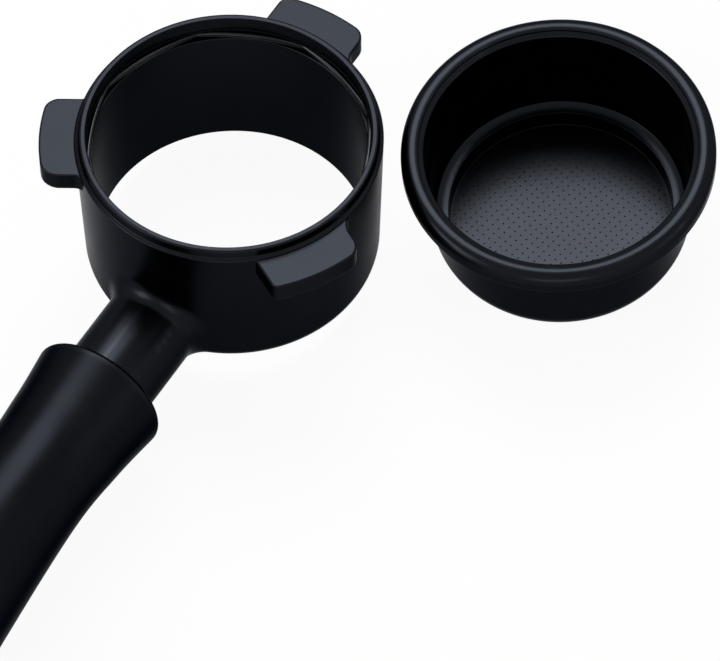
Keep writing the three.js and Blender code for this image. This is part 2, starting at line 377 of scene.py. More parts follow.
@dataclass(frozen=True)
class RoundNet:
    """Grid lines about an upright axis, on which a solid given as a distance is meshed.

    One point is put in each cell that the surface passes through, and pulled onto it.
    """

    angles: Array
    radii: Array
    heights: Array
    pulls: int = 5
    longest_pull: float = 0.3
    probe: float = 0.01  # the step over which a slope is measured

    def shell(self, distance: Distance) -> Shell:
        """The surface of a solid.

        Args:
            distance: the solid, as a signed distance of x, y, z and the radius about Z.

        Returns:
            Its closed surface, with directions from the distance itself.
        """
        turn = self.angles[:, None, None]
        radius = self.radii[None, :, None]
        height = self.heights[None, None, :]
        values = distance(radius * np.cos(turn), radius * np.sin(turn), height, radius)
        inside = values < 0
        number, points = self._points(values, inside)
        faces = self._faces(inside, number)
        for _ in range(self.pulls):
            off, slope = self._slope(distance, points)
            step = off[:, None] * slope / (np.sum(slope * slope, axis=1, keepdims=True) + TINY)
            size = np.linalg.norm(step, axis=1, keepdims=True)
            points -= step * np.minimum(1, self.longest_pull / (size + TINY))
        _, slope = self._slope(distance, points)
        return Shell(points, slope, [tuple(f) for f in faces.tolist()])

    def _slope(self, distance: Distance, points: Array) -> tuple[Array, Array]:
        """The distance at each point, and the direction in which it grows.

        Args:
            distance: the solid.
            points: where it is measured.

        Returns:
            The distances, and a direction for each.
        """
        slope = np.empty_like(points)
        for axis in range(3):
            step = np.zeros(3)
            step[axis] = self.probe
            ahead = distance(*(points + step).T)
            behind = distance(*(points - step).T)
            slope[:, axis] = (ahead - behind) / (2 * self.probe)
        return distance(*points.T), slope

    def _points(self, values: Array, inside: Array) -> tuple[Array, Array]:
        """Numbers the cells that the surface crosses, and puts a point in each.

        Args:
            values: the distance on each grid point.
            inside: which of them lie in the solid.

        Returns:
            Each cell's number, -1 where the surface misses it, and the points.
        """
        angles = np.append(self.angles, self.angles[0] + 2 * math.pi)
        turns = len(self.angles)
        corners = [(i, j, k) for i in (0, 1) for j in (0, 1) for k in (0, 1)]

        def cells(i: int, j: int, k: int) -> Array:
            """The grid as each cell sees it from one of its corners."""
            moved = np.roll(inside, -i, axis=0)
            return moved[:, j: moved.shape[1] - 1 + j, k: moved.shape[2] - 1 + k]

        seen = [cells(*c) for c in corners]
        crossed = np.logical_or.reduce(seen) & ~np.logical_and.reduce(seen)
        number = np.full(crossed.shape, -1)
        number[crossed] = np.arange(crossed.sum())
        t, r, h = np.nonzero(crossed)
        total = np.zeros((len(t), 3))
        hits = np.zeros(len(t))
        for a in corners:
            for axis in range(3):
                if a[axis]:
                    continue
                b = tuple(v + (n == axis) for n, v in enumerate(a))
                va = values[(t + a[0]) % turns, r + a[1], h + a[2]]
                vb = values[(t + b[0]) % turns, r + b[1], h + b[2]]
                hit = (va < 0) != (vb < 0)
                part = np.where(hit, va / np.where(hit, va - vb, 1), 0)
                pa = np.stack([angles[t + a[0]], self.radii[r + a[1]], self.heights[h + a[2]]], 1)
                pb = np.stack([angles[t + b[0]], self.radii[r + b[1]], self.heights[h + b[2]]], 1)
                total += hit[:, None] * (pa + (pb - pa) * part[:, None])
                hits += hit
        angle, radius, height = (total / hits[:, None]).T
        return number, np.stack([radius * np.cos(angle), radius * np.sin(angle), height], 1)

    @staticmethod
    def _faces(inside: Array, number: Array) -> Array:
        """A face across each grid edge that the surface crosses, turned outwards.

        Args:
            inside: which grid points lie in the solid.
            number: each cell's number.

        Returns:
            The faces, as rows of four cell numbers.
        """
        faces = []
        offsets = {
            0: [(0, -1, -1), (0, 0, -1), (0, 0, 0), (0, -1, 0)],
            1: [(-1, 0, -1), (0, 0, -1), (0, 0, 0), (-1, 0, 0)],
            2: [(-1, -1, 0), (0, -1, 0), (0, 0, 0), (-1, 0, 0)],
        }
        for axis, around in offsets.items():
            changes = inside != np.roll(inside, -1, axis=axis)
            limits = [slice(None), slice(1, -1), slice(1, -1)]
            if axis:
                limits[axis] = slice(0, -1)
            mask = np.zeros_like(changes)
            mask[tuple(limits)] = True
            t, r, h = np.nonzero(changes & mask)
            quad = np.stack(
                [number[(t + i) % inside.shape[0], r + j, h + k] for i, j, k in around], axis=1
            )
            # The grid's own order is left-handed for its first and last directions.
            flip = inside[t, r, h] == (axis != 1)
            quad[flip] = quad[flip][:, ::-1]
            faces.append(quad)
        return np.vstack(faces)


def graded(stops: Sequence[Pair], end: float) -> Array:
    """Grid lines whose spacing changes.

    Args:
        stops: where each stretch starts, and the spacing in it.
        end: where the last stretch ends.

    Returns:
        The lines, from the first start to the end.
    """
    starts = [s for s, _ in stops] + [end]
    lines = [
        np.linspace(a, b, max(1, round((b - a) / step)), endpoint=False)
        for (a, step), b in zip(stops, starts[1:])
    ]
    return np.append(np.concatenate(lines), end)


# ------------------------------------------------------------------------- finishes

# The sockets of a mix node that mixes colours: what it mixes, and the result.
FIRST_COLOUR = 6
SECOND_COLOUR = 7
MIXED_COLOUR = 2


def add_node(tree: bpy.types.NodeTree, kind: str, inputs: dict[int | str, object] | None = None,
             **settings: object) -> bpy.types.Node:
    """Adds a node to a tree.

    Args:
        tree: the tree that gets it.
        kind: the node's type.
        inputs: what each input is linked or set to. A list is linked socket by socket.
        **settings: the node's own properties.

    Returns:
        The new node.
    """
    made = tree.nodes.new(kind)
    for key, value in settings.items():
        setattr(made, key, value)
    for key, value in (inputs or {}).items():
        for one in value if isinstance(value, list) else [value]:
            if isinstance(one, bpy.types.NodeSocket):
                tree.links.new(one, made.inputs[key])
            else:
                made.inputs[key].default_value = one
    return made


class Mixer:
    """Adds and links the nodes of one material."""

    def __init__(self, name: str) -> None:
        """Starts an empty material.

        Args:
            name: the material's name.
        """
        self.material = bpy.data.materials.new(name)
        self.material.use_nodes = True
        self.tree = self.material.node_tree
        self.tree.nodes.clear()
        self.place = self.node("ShaderNodeTexCoord").outputs["Object"]

    def node(self, kind: str, inputs: dict[int | str, object] | None = None,
             **settings: object) -> bpy.types.Node:
        """Adds a node to the material."""
        return add_node(self.tree, kind, inputs, **settings)

    def noise(self, scale: float, detail: float = 2.0, rough: float = 0.5) -> bpy.types.NodeSocket:
        """Noise on the piece's own coordinates, from 0 to 1."""
        made = self.node(
            "ShaderNodeTexNoise",
            {"Vector": self.place, "Scale": scale, "Detail": detail, "Roughness": rough},
        )
        return made.outputs["Fac"]

    def spread(self, value: bpy.types.NodeSocket, low: float, high: float,
               span: Pair = (0.3, 0.7)) -> bpy.types.NodeSocket:
        """Carries a value from one span to another.

        Args:
            value: what is carried over.
            low: the result at the span's start and below it.
            high: the result at the span's end and above it.
            span: the stretch of the value that counts.

        Returns:
            The result.
        """
        made = self.node(
            "ShaderNodeMapRange",
            {
                "Value": value,
                "From Min": span[0],
                "From Max": span[1],
                "To Min": low,
                "To Max": high,
            },
        )
        return made.outputs["Result"]

    def blend(self, share: bpy.types.NodeSocket, first: Colour | bpy.types.NodeSocket,
              second: Colour) -> bpy.types.NodeSocket:
        """One colour turning into another.

        Args:
            share: how much of the second colour there is.
            first: a colour, or an earlier blend.
            second: the colour that it turns into.

        Returns:
            The blended colour.
        """
        start = first if isinstance(first, bpy.types.NodeSocket) else (*first, 1.0)
        made = self.node(
            "ShaderNodeMix",
            {"Factor": share, FIRST_COLOUR: start, SECOND_COLOUR: (*second, 1.0)},
            data_type="RGBA",
        )
        return made.outputs[MIXED_COLOUR]

    def bump(self, height: bpy.types.NodeSocket, depth: float) -> bpy.types.NodeSocket:
        """Relief of that depth in metres."""
        return self.node("ShaderNodeBump", {"Height": height, "Distance": depth}).outputs["Normal"]

    def surface(self, inputs: dict[str, object]) -> bpy.types.Material:
        """Ends the material with its surface.

        Args:
            inputs: what the surface shader's inputs are linked or set to.

        Returns:
            The material.
        """
        shader = self.node("ShaderNodeBsdfPrincipled", inputs)
        self.node("ShaderNodeOutputMaterial", {"Surface": shader.outputs["BSDF"]})
        return self.material


@dataclass(frozen=True)
class Coating:
    """A black coat or moulding: satin, cool, finely grained, its sharp edges painted lighter as wear
    and painted highlight.
    """

    name: str
    colour: Colour
    tone: Colour
    # lighter colour of sharp edges: partly wear, partly a painted highlight along them
    edge: Colour
    grazing: Colour  # what it mirrors at a low angle
    roughness: float
    mottle: float  # how far the roughness strays
    grain: float  # metres, as its depth is
    grain_depth: float
    clouds: float = 90.0
    edge_wear_and_highlight: Pair = (0.52, 0.62)  # how sharp an edge is where its wear and painted highlight start, and where they are full

    def material(self) -> bpy.types.Material:
        """The coating's material."""
        mix = Mixer(self.name)
        cloud = mix.noise(self.clouds, 3.0)
        body = mix.blend(mix.spread(cloud, 0.0, 1.0), self.colour, self.tone)
        sharp = mix.node("ShaderNodeNewGeometry").outputs["Pointiness"]
        return mix.surface(
            {
                # sharp edges painted lighter: partly wear, partly a painted highlight
                "Base Color": mix.blend(mix.spread(sharp, 0.0, 1.0, self.edge_wear_and_highlight), body, self.edge),
                "Metallic": 1.0,
                "Roughness": mix.spread(
                    cloud, self.roughness - self.mottle, self.roughness + self.mottle
                ),
                "Specular Tint": (*self.grazing, 1.0),
                "Normal": mix.bump(mix.noise(1 / self.grain, 3.0, 0.6), self.grain_depth),
            }
        )


@dataclass(frozen=True)
class Rubber:
    """Moulded rubber: dull, with a soft grain."""

    name: str
    colour: Colour
    tone: Colour
    roughness: float
    mottle: float
    level: float
    grain: float  # metres, as its depth is
    grain_depth: float
    clouds: float = 60.0

    def material(self) -> bpy.types.Material:
        """The rubber's material."""
        mix = Mixer(self.name)
        cloud = mix.noise(self.clouds, 3.0)
        return mix.surface(
            {
                "Base Color": mix.blend(mix.spread(cloud, 0.0, 1.0), self.colour, self.tone),
                "Roughness": mix.spread(
                    cloud, self.roughness - self.mottle, self.roughness + self.mottle
                ),
                "Specular IOR Level": self.level,
                "Normal": mix.bump(mix.noise(1 / self.grain, 2.0, 0.55), self.grain_depth),
            }
        )


@dataclass(frozen=True)
class Steel:
    """Bare or plated steel with fine marks from drawing or turning."""

    name: str
    colour: Colour
    tone: Colour
    roughness: float
    grain: float  # metres, as its depth is
    grain_depth: float = 4e-6
    polished: float = 0.06  # how much smoother it is in the marks' hollows
    scuffed: float = 0.08  # how much rougher it is on their ridges
    clouds: float = 150.0

    def material(self) -> bpy.types.Material:
        """The steel's material."""
        mix = Mixer(self.name)
        marks = mix.noise(1 / self.grain, 4.0, 0.6)
        cloud = mix.noise(self.clouds, 2.0)
        return mix.surface(
            {
                "Base Color": mix.blend(mix.spread(cloud, 0.0, 1.0), self.colour, self.tone),
                "Metallic": 1.0,
                "Roughness": mix.spread(
                    marks, self.roughness - self.polished, self.roughness + self.scuffed
                ),
                "Normal": mix.bump(marks, self.grain_depth),
            }
        )


# each coat's third colour is its sharp edges' colour: wear and a painted highlight
BLACK_COAT = Coating(
    "black_coat", (0.0088, 0.0098, 0.0122), (0.0096, 0.0107, 0.0134), (0.014, 0.015, 0.018),
    grazing=(0.495, 0.50, 0.515), roughness=0.3, mottle=0.02, grain=0.00016, grain_depth=2.0e-6,
)
BASKET_COAT = Coating(
    "basket_coat", (0.0088, 0.0098, 0.0121), (0.0095, 0.0106, 0.0131), (0.014, 0.015, 0.018),
    grazing=(0.495, 0.50, 0.515), roughness=0.25, mottle=0.02, grain=0.0003, grain_depth=9.0e-6,
)
BLACK_PLASTIC = Coating(
    "black_plastic", (0.0056, 0.0063, 0.0080), (0.0066, 0.0074, 0.0092), (0.009, 0.010, 0.012),
    grazing=(0.44, 0.445, 0.455), roughness=0.33, mottle=0.03, grain=0.0002, grain_depth=3.0e-6,
)
BLACK_RUBBER = Rubber(
    "black_rubber", (0.006, 0.006, 0.006), (0.009, 0.009, 0.009),
    roughness=0.7, mottle=0.05, level=0.3, grain=0.0003, grain_depth=1.0e-5,
)
SPRING_STEEL = Steel("spring_steel", (0.016, 0.017, 0.02), (0.022, 0.023, 0.026), 0.18, 0.0004)
ZINC_STEEL = Steel("zinc_steel", (0.55, 0.55, 0.53), (0.66, 0.66, 0.63), 0.34, 0.0006)


def settle(piece: bpy.types.Object, body: Body, slot: Slot, *nodes: str) -> None:
    """Ties a finished piece to its body, and lets it stand for its CAD nodes.

    Args:
        piece: the finished object.
        body: the body that it moves with.
        slot: not used.
        *nodes: the CAD nodes that it stands for.
    """
    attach(piece, body.value)
    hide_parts(*nodes)
    LOG.info("%s: %d faces on %s", piece.name, len(piece.data.polygons), body.value)


def repaint(node: str, material: bpy.types.Material) -> None:
    """Gives a CAD node that keeps its mesh its finish.

    Args:
        node: the node's name.
        material: its finish.
    """
    target = frame["nodes"][node].data
    target.materials.clear()
    target.materials.append(material)
    LOG.info("%s: keeps its CAD mesh", node)


# ------------------------------------------------------------------ geometry node trees


class Tree:
    """A geometry node tree with named inputs, built node by node."""

    def __init__(self, name: str) -> None:
        """Starts a tree that takes and gives geometry.

        Args:
            name: the tree's name.
        """
        self.tree = bpy.data.node_groups.new(name, "GeometryNodeTree")
        for way in ("INPUT", "OUTPUT"):
            self.tree.interface.new_socket("Geometry", in_out=way, socket_type="NodeSocketGeometry")
        self.source = self.tree.nodes.new("NodeGroupInput")
        self.sink = self.tree.nodes.new("NodeGroupOutput")
        self.sockets: dict[str, str] = {}

    def input(self, name: str, kind: str = "NodeSocketFloat") -> bpy.types.NodeSocket:
        """Adds an input to the tree.

        Args:
            name: its name.
            kind: its socket's type.

        Returns:
            The socket that gives its value inside the tree.
        """
        socket = self.tree.interface.new_socket(name, in_out="INPUT", socket_type=kind)
        self.sockets[name] = socket.identifier
        return self.source.outputs[name]

    def node(self, kind: str, inputs: dict[int | str, object] | None = None,
             **settings: object) -> bpy.types.Node:
        """Adds a node to the tree."""
        return add_node(self.tree, kind, inputs, **settings)

    def close(self, geometry: bpy.types.NodeSocket) -> None:
        """Ends the tree: real geometry, with its material set.

        Args:
            geometry: what the tree has made.
        """
        real = self.node("GeometryNodeRealizeInstances", {"Geometry": geometry})
        painted = self.node(
            "GeometryNodeSetMaterial",
            {"Geometry": real.outputs[0], "Material": self.input("Material", "NodeSocketMaterial")},
        )
        self.tree.links.new(painted.outputs[0], self.sink.inputs["Geometry"])

    def run(self, name: str, mesh: bpy.types.Mesh, values: dict[str, object]) -> bpy.types.Mesh:
        """Runs the tree on a mesh.

        Args:
            name: the name of the mesh that it makes.
            mesh: what it starts from.
            values: what each named input is set to.

        Returns:
            The evaluated result as a plain mesh.
        """
        holder = bpy.data.objects.new(name + "_maker", mesh)
        bpy.context.scene.collection.objects.link(holder)
        modifier = holder.modifiers.new(name, "NODES")
        modifier.node_group = self.tree
        for key, value in values.items():
            modifier[self.sockets[key]] = value
        holder.update_tag()
        bpy.context.view_layer.update()
        graph = bpy.context.evaluated_depsgraph_get()
        made = bpy.data.meshes.new_from_object(holder.evaluated_get(graph))
        made.name = name
        holder.modifiers.remove(modifier)
        bpy.data.objects.remove(holder)
        return made


# ---------------------------------------------------------------------- the holder


@dataclass(frozen=True)
class Lug:
    """One of the lugs that lock the holder into the machine, seen from above.

    Its azimuth is in degrees, and the rest are radii. Left is anticlockwise of its middle.
    """

    azimuth: float
    left_corner: float
    right_corner: float
    left_root: float
    right_root: float


@dataclass(frozen=True)
class RingSizes:
    """The ring that carries the basket: radii about its axis, and heights above its foot."""

    height: float = 36.4
    through_bore: float = 27.8
    rim_bore: float = 28.8
    groove_radius: float = 30.0
    groove_floor: float = 31.1
    groove_top: float = 32.9
    foot_inner: float = 28.0
    foot_radius: float = 30.2
    foot_round: float = 3.4
    wall_top_radius: float = 31.1
    wall_top: float = 34.35
    ledge_radius: float = 30.35
    ledge_height: float = 34.7
    collar_radius: float = 30.05
    rim_flat: float = 1.1
    lip: float = 0.25


@dataclass(frozen=True)
class NeckSizes:
    """The neck that runs from the ring into the grip, and the bar that the bolt pulls on.

    Its height is above the ring's foot, and its places are measured from the ring's axis.
    """

    height: float = 6.8
    radius: float = 9.6
    start: float = 20.0
    round_end: float = 58.0
    seal_at: float = 54.6
    seal_half: float = 1.05
    seal_groove: float = 7.8
    hex_flat: float = 5.63
    hex_end: float = 76.0
    thread_radius: float = 3.3
    thread_end: float = 60.0
    root_fillet: float = 3.0


@dataclass(frozen=True)
class HolderCasting:
    """The holder's body: ring, three lugs, neck and hexagon, cast as one."""

    place: Placement
    ring: RingSizes = RingSizes()
    neck: NeckSizes = NeckSizes()
    lugs: tuple[Lug, ...] = (
        Lug(90.0, left_corner=2.0, right_corner=2.6, left_root=1.5, right_root=2.6),
        Lug(210.0, left_corner=3.0, right_corner=2.4, left_root=1.8, right_root=1.2),
        Lug(330.0, left_corner=2.6, right_corner=1.0, left_root=3.2, right_root=0.3),
    )
    lug_reach: float = 38.3
    lug_half_width: float = 9.8
    lug_top: float = 34.0
    lug_under: float = 29.5
    lug_edge: float = 0.42
    lug_fillet: float = 0.12
    lug_bed: float = 0.55  # how deep in the wall the lugs are rooted
    lug_back: float = 0.1
    far: float = 60.0  # past every surface of the ring
    net_margin: float = 0.9  # between a feature and the change of spacing beside it

    def build(self) -> None:
        """Makes the body and dresses it."""
        shell = self._net().shell(self.distance)
        piece = shell.build("holder_casting", self.place, BLACK_COAT.material())
        settle(piece, Body.HOLDER, Slot.BLACK_COAT, "holder_body")

    @cached_property
    def outside(self) -> Outline:
        """Section of the ring as if it were solid: foot, wall, ledge, collar and rim."""
        r = self.ring
        foot = arc((r.foot_inner, r.foot_round), (r.foot_radius - r.foot_inner, r.foot_round),
                   (-90, 0), 14)
        upper = Outline.rounded(
            [
                Corner(r.foot_radius, r.foot_round),
                Corner(r.wall_top_radius, r.wall_top, 0.35),
                Corner(r.ledge_radius, r.ledge_height, 0.3),
                Corner(r.collar_radius, r.height, 0.5),
                Corner(-self.far, r.height),
            ],
            closed=False,
        )
        start = np.array([[-self.far, 0.0]])
        return Outline.smooth(np.vstack([start, foot, upper.points[1:]]), closed=True)

    @cached_property
    def hollow(self) -> Outline:
        """Section of the bore: through bore, spring groove and the seat under the rim."""
        r = self.ring
        return Outline.rounded(
            [
                Corner(-self.far, -self.far),
                Corner(r.through_bore, -self.far),
                Corner(r.through_bore, r.groove_floor, 0.15),
                Corner(r.groove_radius, r.groove_floor, 0.25),
                Corner(r.groove_radius, r.groove_top, 0.25),
                Corner(r.rim_bore, r.groove_top, 0.15),
                Corner(r.rim_bore, self.far),
                Corner(-self.far, self.far),
            ],
            steps=3,
        )

    def distance(self, x: Array, y: Array, z: Array, radius: Array | None = None) -> Array:
        """The whole body as a signed distance.

        Args:
            x: places across the handle.
            y: places along it, negative towards the grip.
            z: heights above the ring's foot.
            radius: distances from the ring's axis, where they are known already.

        Returns:
            The distance at each place.
        """
        radius = np.hypot(x, y) if radius is None else radius
        solid = self.outside.distance(radius, z)
        for lug in self.lugs:
            solid = union_round(solid, self._lug(lug, x, y, z), self.lug_fillet)
        solid = union_round(solid, self._neck(x, y, z), self.neck.root_fillet)
        return common_round(solid, -self.hollow.distance(radius, z), self.ring.lip)

    def _lug(self, lug: Lug, x: Array, y: Array, z: Array) -> Array:
        """One lug: a flat tab with rounded corners, flared roots and softened edges.

        Args:
            lug: which one.
            x: places across the handle.
            y: places along it.
            z: heights.

        Returns:
            Its signed distance at each place.
        """
        angle = math.radians(lug.azimuth)
        left = y * math.cos(angle) - x * math.sin(angle)
        radius = np.hypot(x, y)
        plan = common_round(radius - self.lug_reach, left - self.lug_half_width, lug.left_corner)
        plan = common_round(plan, -left - self.lug_half_width, lug.right_corner)
        ahead = x * math.cos(angle) + y * math.sin(angle)
        plan = common_round(plan, -ahead, self.lug_back)
        root = np.where(left > 0, lug.left_root, lug.right_root)
        plan = union_round(plan, radius - (self.ring.wall_top_radius - self.lug_bed), root)
        middle = (self.lug_top + self.lug_under) / 2
        half = (self.lug_top - self.lug_under) / 2
        return common_round(plan, np.abs(z - middle) - half, self.lug_edge)

    def _neck(self, x: Array, y: Array, z: Array) -> Array:
        """The neck with its seal groove, the hexagon behind it and the thread's hole.

        Args:
            x: places across the handle.
            y: places along it.
            z: heights.

        Returns:
            Its signed distance at each place.
        """
        n = self.neck
        along = -y
        up = z - n.height
        radius = np.hypot(x, up)
        groove = np.maximum(np.abs(along - n.seal_at) - n.seal_half, n.seal_groove - radius)
        round_part = np.maximum(np.maximum(radius - n.radius, along - n.round_end), -groove)
        flats = [np.abs(x * math.cos(a) + up * math.sin(a)) for a in np.radians((30, 90, 150))]
        bar = np.maximum(np.maximum.reduce(flats) - n.hex_flat, along - n.hex_end)
        thread = np.maximum(radius - n.thread_radius, n.thread_end - along)
        body = np.maximum(np.minimum(round_part, bar), -thread)
        return np.maximum(body, n.start - along)

    def _net(self) -> RoundNet:
        """Grid lines: close together on edges and fillets, further apart on plain walls.

        In each pair, the first number is where a stretch starts, the second its spacing.
        """
        r, n = self.ring, self.neck
        return RoundNet(
            angles=np.radians(self._angles()),
            radii=graded(
                [
                    (r.through_bore - self.net_margin, 0.25),
                    (r.wall_top_radius + 0.6, 0.47),
                    (self.lug_reach + self.net_margin, 1.0),
                    (n.round_end - 8.0, 0.82),
                ],
                n.hex_end + 1.2,
            ),
            heights=graded(
                [
                    (n.height - n.radius - 0.8, 0.4),
                    (r.foot_round, 1.0),
                    (n.height + n.radius + 1.0, 1.7),
                    (self.lug_under - 0.4, 0.2),
                    (self.lug_under + 0.6, 0.5),
                    (r.groove_floor - 0.4, 0.2),
                    (r.groove_floor + 0.4, 0.35),
                    (r.groove_top - 0.4, 0.2),
                    (self.lug_top - 0.7, 0.15),
                ],
                r.height + 0.5,
            ),
        )

    def _angles(self) -> Array:
        """Angles of the grid in degrees, closest at the sides of the lugs."""
        at_lug, at_neck, plain = 0.42, 0.66, 1.6  # spacings
        outer, inner, neck = 23.0, 12.0, 25.0  # how far a stretch reaches from a middle
        stops: list[Pair] = []
        for lug in self.lugs:
            a = lug.azimuth
            stops += [(a - outer, at_lug), (a - inner, plain), (a + inner, at_lug), (a + outer, plain)]
        stops += [(270.0 - neck, at_neck), (270.0 + neck, plain)]
        stops.sort()
        return graded(stops, stops[0][0] + 360.0)[:-1]


@dataclass(frozen=True)
class RetainingSpring:
    """The wire in the ring's groove: it bows in between its kinks and grips the basket."""

    place: Placement
    wire: float = 0.6
    kink_radius: float = 29.1
    bow: float = 1.0
    sides: int = 8
    gap: Pair = (-78.0, -58.0)
    height: float = 32.0
    points: int = 360
    facets: int = 16
    crease: float = 50.0  # degrees, only the wire's cut ends are sharper

    def build(self) -> None:
        """Runs the wire along its path and dresses it."""
        tree = Tree("wire along a path")
        radius = tree.input("Wire radius")
        path = tree.node("GeometryNodeMeshToCurve", {"Mesh": tree.source.outputs[0]})
        section = tree.node(
            "GeometryNodeCurvePrimitiveCircle", {"Resolution": self.facets, "Radius": radius}
        )
        tube = tree.node(
            "GeometryNodeCurveToMesh",
            {"Curve": path.outputs[0], "Profile Curve": section.outputs[0], "Fill Caps": True},
        )
        smooth = tree.node("GeometryNodeSetShadeSmooth", {"Geometry": tube.outputs[0]})
        tree.close(smooth.outputs[0])
        mesh = tree.run(
            "retaining_wire",
            self._path(),
            {"Wire radius": self.wire * MM, "Material": SPRING_STEEL.material()},
        )
        mesh.set_sharp_from_angle(angle=math.radians(self.crease))
        piece = bpy.data.objects.new("retaining_wire", mesh)
        bpy.context.scene.collection.objects.link(piece)
        settle(piece, Body.HOLDER, Slot.SPRING_STEEL, "retaining_spring")

    def _path(self) -> bpy.types.Mesh:
        """The wire's centreline, open at the gap."""
        degrees = np.linspace(self.gap[1], 360.0 + self.gap[0], self.points)
        side = 360.0 / self.sides
        share = np.mod(degrees, side) / (side / 2) - 1
        radius = self.kink_radius - self.bow * (1 - share**2)
        angle = np.radians(degrees)
        line = np.stack(
            [radius * np.cos(angle), radius * np.sin(angle), np.full(len(angle), self.height)], 1
        )
        mesh = bpy.data.meshes.new("wire_path")
        edges = [(i, i + 1) for i in range(len(line) - 1)]
        mesh.from_pydata(self.place.rows(line).tolist(), edges, [])
        return mesh


@dataclass(frozen=True)
class GripSizes:
    """The moulded grip, its bores and its end cap, with places measured from the ring's axis."""

    start: float = 50.0
    end: float = 168.0
    mouth_radius: float = 14.1
    mouth_round: float = 1.1
    waist_radius: float = 12.4
    waist_at: float = 78.0
    belly_radius: float = 18.0
    belly_at: float = 140.0
    end_radius: float = 10.7
    socket_radius: float = 9.9
    socket_end: float = 58.3
    hex_bore: float = 7.2
    hex_bore_end: float = 76.3
    bolt_bore: float = 3.3
    seat_at: float = 140.0
    counterbore: float = 7.5
    cap_recess: float = 9.3
    cap_seat: float = 5.0
    cap_radius: float = 9.0
    cap_dome: float = 0.8
    plug: float = 5.0
    clearance: float = 0.3


@dataclass(frozen=True)
class Grip:
    """The handle: a moulded grip drawn onto the neck by a bolt, and closed by a cap."""

    place: Placement
    sizes: GripSizes = GripSizes()
    neck: NeckSizes = NeckSizes()
    seal_section: float = 0.75
    turns: int = 160
    small_turns: int = 96

    def build(self) -> None:
        """Makes the grip, its cap and its seal, and dresses the metal inside."""
        plastic = BLACK_PLASTIC.material()
        height = self.neck.height
        grip = Shell.turned(self._grip_section(), self.turns, Axis.HANDLE, height)
        settle(grip.build("grip", self.place, plastic), Body.HOLDER, Slot.BLACK_PLASTIC,
               "handle_grip")
        cap = Shell.turned(self._cap_section(), self.small_turns, Axis.HANDLE, height)
        settle(cap.build("grip_cap", self.place, plastic), Body.HOLDER, Slot.BLACK_PLASTIC,
               "end_cap")
        seal = Shell.turned(self._seal_section(), self.small_turns, Axis.HANDLE, height)
        settle(seal.build("seal_ring", self.place, BLACK_RUBBER.material()), Body.HOLDER,
               Slot.BLACK_RUBBER, "neck_seal")
        zinc = ZINC_STEEL.material()
        for node in ("tie_bolt", "flat_washer", "spring_washer"):
            repaint(node, zinc)

    def _side(self) -> Array:
        """The grip's side from the mouth to the end: waist, belly and rounded end."""
        s = self.sizes
        mouth, waist = (s.mouth_radius, s.start), (s.waist_radius, s.waist_at)
        belly, end = (s.belly_radius, s.belly_at), (s.end_radius, s.end)
        knots = [
            (s.mouth_radius, s.start + s.mouth_round),
            between(mouth, waist, 0.7, 0.45),
            waist,
            between(waist, belly, 0.4, 0.47),
            belly,
            between(belly, end, 0.28, 0.62),
            end,
        ]
        return np.array(list(through(knots, 16)))

    def _grip_section(self) -> Outline:
        """Section of the grip, walked from the mouth's inner edge out and back by the bores."""
        s = self.sizes
        seam = s.start + 3.0
        mouth = Outline.rounded(
            [
                Corner(s.socket_radius, seam),
                Corner(s.socket_radius, s.start, 0.35),
                Corner(s.mouth_radius, s.start, s.mouth_round),
                Corner(s.mouth_radius, s.start + s.mouth_round + 0.02),
            ],
            closed=False,
            steps=8,
        )
        side = Outline.smooth(self._side())
        back = Outline.rounded(
            [
                Corner(s.end_radius, s.end),
                Corner(s.cap_recess, s.end, 0.25),
                Corner(s.cap_recess, s.end - s.cap_seat),
                Corner(s.counterbore, s.end - s.cap_seat),
                Corner(s.counterbore, s.seat_at),
                Corner(s.bolt_bore, s.seat_at),
                Corner(s.bolt_bore, s.hex_bore_end),
                Corner(s.hex_bore, s.hex_bore_end),
                Corner(s.hex_bore, s.socket_end),
                Corner(s.socket_radius, s.socket_end),
                Corner(s.socket_radius, seam + 0.2),
            ],
            closed=False,
            steps=4,
        )
        trimmed = Outline(mouth.points[:-1], mouth.directions[:-1])
        return trimmed.then(side).then(back, closed=True)

    def _cap_section(self) -> Outline:
        """Section of the cap: a plug, a flange and a shallow dome, from axis to axis."""
        s = self.sizes
        seat = s.end - s.cap_seat + s.clearance
        plug = s.counterbore - s.clearance
        dome = arc((0.0, s.end), (s.cap_radius, s.cap_dome), (12, 90), 14)
        foot = Outline.rounded(
            [
                Corner(0.0, seat - s.plug),
                Corner(plug, seat - s.plug, 0.4),
                Corner(plug, seat, 0.15),
                Corner(s.cap_radius, seat, 0.2),
                Corner(s.cap_radius, float(dome[0][1]) - 0.1, 0.3),
                Corner(float(dome[0][0]), float(dome[0][1])),
            ],
            closed=False,
        )
        dome[-1][0] = 0.0
        return foot.then(Outline.smooth(dome[1:]))

    def _seal_section(self) -> Outline:
        """Section of the seal: a round ring in the neck's groove."""
        middle = (self.neck.seal_groove + self.sizes.socket_radius) / 2
        size = self.seal_section
        ring = arc((middle, self.neck.seal_at), (size, size), (0, 360), 20)[:-1]
        return Outline.smooth(ring, closed=True)


def between(first: Pair, last: Pair, across: float, along: float) -> Pair:
    """A point that is one share of the way across and another share of the way along."""
    return first[0] + across * (last[0] - first[0]), first[1] + along * (last[1] - first[1])


def through(knots: Sequence[Pair], steps: int) -> Iterator[Pair]:
    """Points on a smooth line through the knots.

    Args:
        knots: the points that it passes through.
        steps: how many points it gives from each knot to the next.

    Yields:
        The points in order, the last knot included.
    """
    ends = [knots[0], *knots, knots[-1]]
    for a, b, c, d in zip(ends, ends[1:], ends[2:], ends[3:]):
        for k in range(steps):
            t = k / steps
            yield tuple(
                b[i]
                + 0.5 * t * (
                    c[i] - a[i]
                    + t * (2 * a[i] - 5 * b[i] + 4 * c[i] - d[i]
                           + t * (3 * (b[i] - c[i]) + d[i] - a[i]))
                )
                for i in (0, 1)
            )
    yield knots[-1]


# ----------------------------------------------------------------------- the basket


